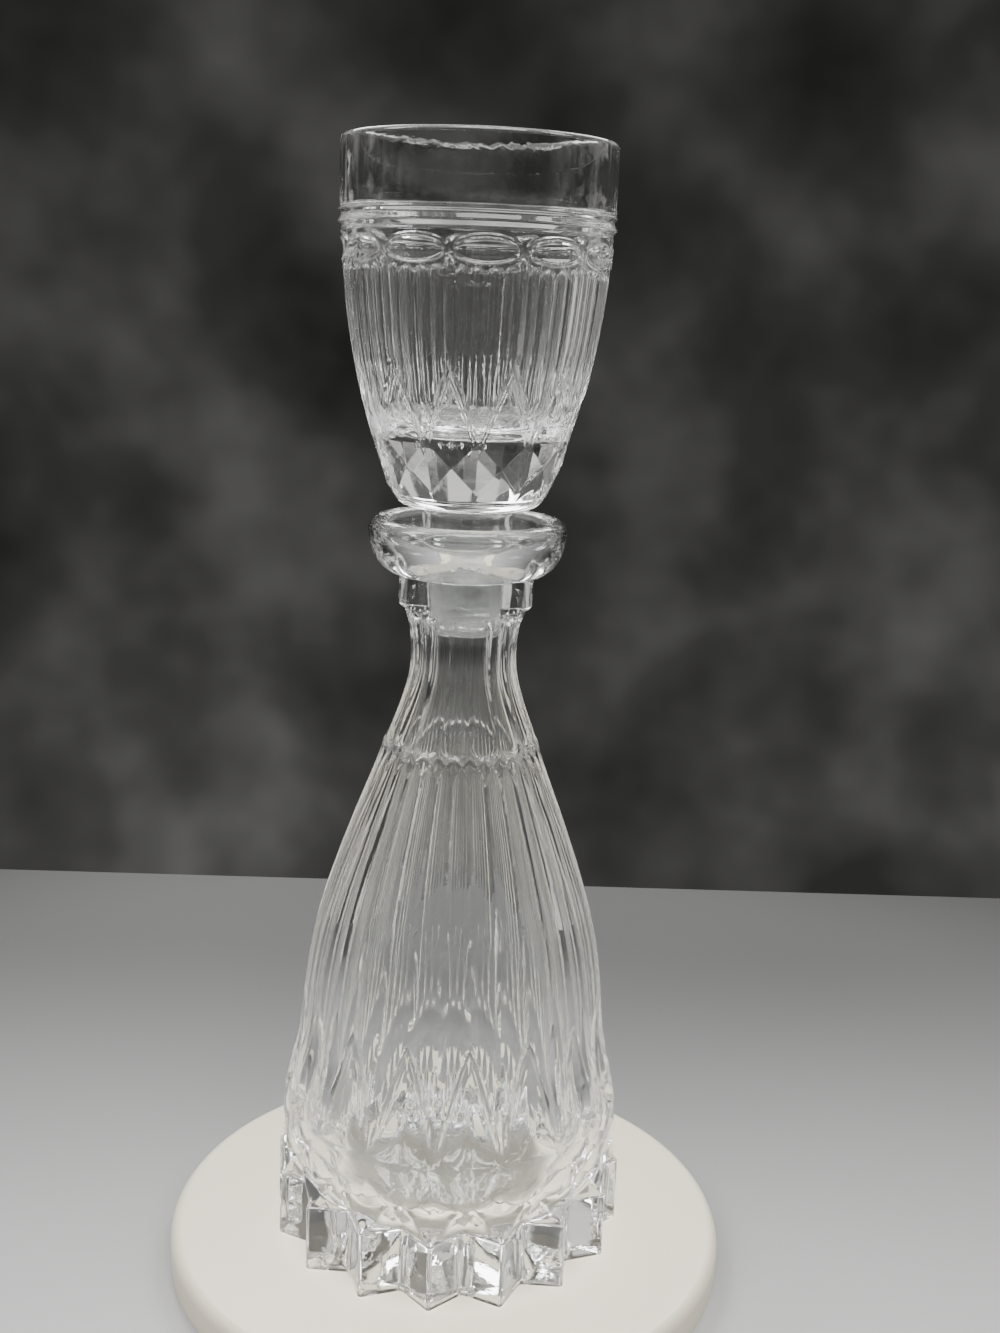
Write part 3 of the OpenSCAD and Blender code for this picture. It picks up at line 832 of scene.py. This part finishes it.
# Floor: a low white plate on a wide pale table
def pale_material(name, colour, roughness):
    """Smooth pale surface with faint clouds."""
    mat, nodes, links, shader = new_material(name)
    place = nodes.new("ShaderNodeTexCoord")
    cloud = add_node(nodes, "ShaderNodeTexNoise", {"Scale": 9.0})
    ramp = nodes.new("ShaderNodeValToRGB")
    for mark, share in zip(ramp.color_ramp.elements, (0.94, 1.0)):
        mark.color = tuple(c * share for c in colour) + (1,)
    links.new(place.outputs["Object"], cloud.inputs["Vector"])
    links.new(cloud.outputs["Fac"], ramp.inputs["Fac"])
    links.new(ramp.outputs["Color"], shader.inputs["Base Color"])
    shader.inputs["Roughness"].default_value = roughness
    return mat


def paint_shade(mat, way, start, end, low, high):
    """Paint shade onto a pale material: darken it by a share that runs from low to high between
    two places.

    The places are in metres. The way is the name of an axis, or "out" for the distance
    from the middle.
    """
    nodes, links = mat.node_tree.nodes, mat.node_tree.links
    place = nodes.new("ShaderNodeTexCoord")
    if way == "out":
        part = nodes.new("ShaderNodeVectorMath")
        part.operation = "LENGTH"
        measure = part.outputs["Value"]
    else:
        part = nodes.new("ShaderNodeSeparateXYZ")
        measure = part.outputs[way]
    span = add_node(nodes, "ShaderNodeMapRange",
                    {"From Min": start, "From Max": end, "To Min": low, "To Max": high})
    span.interpolation_type = "SMOOTHSTEP"
    links.new(place.outputs["Object"], part.inputs["Vector"])
    links.new(measure, span.inputs["Value"])
    base = nodes["Principled BSDF"].inputs["Base Color"]
    # The painted shade multiplies the material's base colour
    tone = mix_node(nodes, links, "MULTIPLY", base.links[0].from_socket, span.outputs["Result"])
    links.new(tone.outputs[2], base)


def plate_disc(name, radius, top, depth, edge, mat):
    """Round plate with a rounded upper edge, its middle on the axis."""
    outline = [(0.0, top), (radius - edge, top)]
    outline += [(radius - edge + edge * math.sin(t), top - edge + edge * math.cos(t))
                for t in steps(0, math.pi / 2, 6)]
    outline += [(radius, top - depth), (0.0, top - depth)]
    n = 128
    angles = [2 * math.pi * i / n for i in range(n)]
    verts = [(r * math.cos(a) * MM, r * math.sin(a) * MM, z * MM)
             for r, z in outline for a in angles]
    faces = []
    for i in range(len(outline) - 1):
        for j in range(n):
            k = (j + 1) % n
            faces.append((i * n + j, (i + 1) * n + j, (i + 1) * n + k, i * n + k))
    mesh = bpy.data.meshes.new(name)
    mesh.from_pydata(verts, [], faces)
    bm = bmesh.new()
    bm.from_mesh(mesh)
    bmesh.ops.remove_doubles(bm, verts=bm.verts, dist=1e-6)
    bm.to_mesh(mesh)
    bm.free()
    mesh.shade_smooth()
    mesh.set_sharp_from_angle(angle=math.radians(30))
    mesh.materials.append(mat)
    obj = bpy.data.objects.new(name, mesh)
    bpy.context.scene.collection.objects.link(obj)


def table_slab(name, half_width, front, back, top, bottom, mat):
    """Wide flat slab, square to the camera, in metres."""
    corners = [(-half_width, front), (half_width, front), (half_width, back),
               (-half_width, back)]
    mesh = bpy.data.meshes.new(name)
    mesh.from_pydata([(x, y, z) for z in (bottom, top) for x, y in corners], [],
                     [(0, 3, 2, 1), (4, 5, 6, 7), (0, 1, 5, 4), (1, 2, 6, 5), (2, 3, 7, 6),
                      (3, 0, 4, 7)])
    mesh.materials.append(mat)
    floor = bpy.data.objects.new(name, mesh)
    floor.rotation_euler.z = math.radians(CAMERA_AZIMUTH)
    bpy.context.scene.collection.objects.link(floor)


# Painted shade: the plate is darker under the foot, a painted shadow of the glass, and the
# table is darker towards the back and further out, a painted falloff of the lamps' light
plate = pale_material("white_plate", (0.97, 0.88, 0.7), 0.3)
# Painted shadow: the plate darkens towards its middle, under the foot, in place of the shadow
# the glass does not cast
paint_shade(plate, "out", start=0.03, end=0.0465, low=0.16, high=1.0)
plate_disc("plate", radius=73.0, top=-0.2, depth=9.0, edge=3.0, mat=plate)
table = pale_material("pale_table", (0.6, 0.6, 0.6), 0.35)
# Painted shade: the table darkens towards the back and away from the middle, a painted pool of
# light round the object
paint_shade(table, "Y", start=-0.15, end=0.2, low=0.95, high=0.2)
paint_shade(table, "out", start=0.25, end=0.48, low=1.0, high=0.1)
table_slab(
    "floor", half_width=0.9, front=-0.7, back=0.258, top=-0.0092, bottom=-0.0192, mat=table)

# World: a dark studio with faint clouds, and bright patches that are never seen directly
world = bpy.data.worlds.new("studio")
bpy.context.scene.world = world
world.use_nodes = True
nodes, links = world.node_tree.nodes, world.node_tree.links
place = nodes.new("ShaderNodeTexCoord")
split = nodes.new("ShaderNodeSeparateXYZ")
links.new(place.outputs["Generated"], split.inputs["Vector"])


def ramp_of(value, stops):
    """Grey ramp over a value from 0 to 1. Each stop is a place on it and its grey."""
    ramp = nodes.new("ShaderNodeValToRGB")
    marks = ramp.color_ramp.elements
    marks[0].position, marks[1].position = stops[0][0], stops[-1][0]
    for at, _ in stops[1:-1]:
        marks.new(at)
    for mark, (_, grey) in zip(marks, stops):
        mark.color = (grey, grey * 0.995, grey * 0.98, 1)
    links.new(value, ramp.inputs["Fac"])
    return ramp.outputs["Color"]


def along(axis, stops):
    """Grey ramp over how far a direction points along one axis, from 0 to 1."""
    span = add_node(nodes, "ShaderNodeMapRange", {"From Min": -1.0})
    links.new(split.outputs[axis], span.inputs["Value"])
    return ramp_of(span.outputs["Result"], stops)


def clouds(scale, detail, stops):
    """Soft patches over the directions."""
    noise = add_node(nodes, "ShaderNodeTexNoise", {"Scale": scale, "Detail": detail})
    links.new(place.outputs["Generated"], noise.inputs["Vector"])
    return ramp_of(noise.outputs["Fac"], stops)


def mixed(kind, first, *others):
    """Colours joined one after the other by one blend type."""
    for other in others:
        first = mix_node(nodes, links, kind, first, other).outputs[2]
    return first


# Bright patches lie outside the picture: beside, above and before the object
unseen = mixed("LIGHTEN",
               along("Y", [(0.0, 0.25), (0.3, 0.4), (0.5, 1.0), (0.86, 0.9), (0.945, 0.0)]),
               along("Z", [(0.59, 0.0), (0.64, 1.0)]))
front_dip = mixed("LIGHTEN",
                  along("Z", [(0.42, 1.0), (0.47, 0.1), (0.58, 0.1), (0.68, 1.0)]),
                  along("Y", [(0.15, 0.0), (0.5, 1.0)]))
reflectors = mixed("MULTIPLY", clouds(4.2, 1.5, [(0.5, 0.004), (0.6, 0.8)]), unseen, front_dip)
backdrop = mixed("MULTIPLY", clouds(7.0, 3.0, [(0.35, 0.03), (0.5, 0.06), (0.7, 0.14)]),
                 along("Z", [(0.28, 1.0), (0.36, 0.9), (0.42, 0.6), (0.6, 0.5), (1.0, 0.8)]))
fill = mixed("MULTIPLY", along("Y", [(0.0, 0.14), (0.35, 0.08), (0.6, 0.0)]), front_dip)
high = along("Z", [(0.3, 0.12), (0.35, 0.05), (0.4, 0.0), (0.6, 0.0), (0.7, 0.06), (0.9, 0.1)])
light = mixed("ADD", backdrop, fill, high, reflectors)
# Seen directly, the studio is the backdrop alone. The rest lights the pieces and shows in
# the glass
show = mix_node(nodes, links, "MIX", light, backdrop)
links.new(nodes.new("ShaderNodeLightPath").outputs["Is Camera Ray"], show.inputs["Factor"])
links.new(show.outputs[2], nodes["Background"].inputs["Color"])

# Lamps: name, azimuth, height, distance, width, length and power, in degrees, metres and
# watts. All aim at the same height
LAMPS = [
    ("overhead", 20, 1.1, 0.25, 0.6, 0.5, 8),
    ("left", -75, 0.8, 0.7, 0.25, 0.5, 4),
    ("right", 80, 0.85, 0.7, 0.2, 0.5, 3),
    ("back_left", -150, 0.75, 0.7, 0.3, 0.3, 3),
    ("back_right", 155, 0.8, 0.7, 0.2, 0.4, 3)]
AIM_HEIGHT = 0.13


def softbox(name, azimuth, height, distance, width, length, power):
    """Soft light aimed at the middle of the object."""
    data = bpy.data.lights.new(name, "AREA")
    data.shape = "RECTANGLE"
    data.size = width
    data.size_y = length
    data.energy = power
    a = math.radians(azimuth)
    lamp = bpy.data.objects.new(name, data)
    lamp.location = (distance * math.sin(a), -distance * math.cos(a), height)
    aim = Vector((0, 0, AIM_HEIGHT)) - lamp.location
    lamp.rotation_euler = aim.to_track_quat("-Z", "Y").to_euler()
    bpy.context.scene.collection.objects.link(lamp)


for lamp in LAMPS:
    softbox(*lamp)
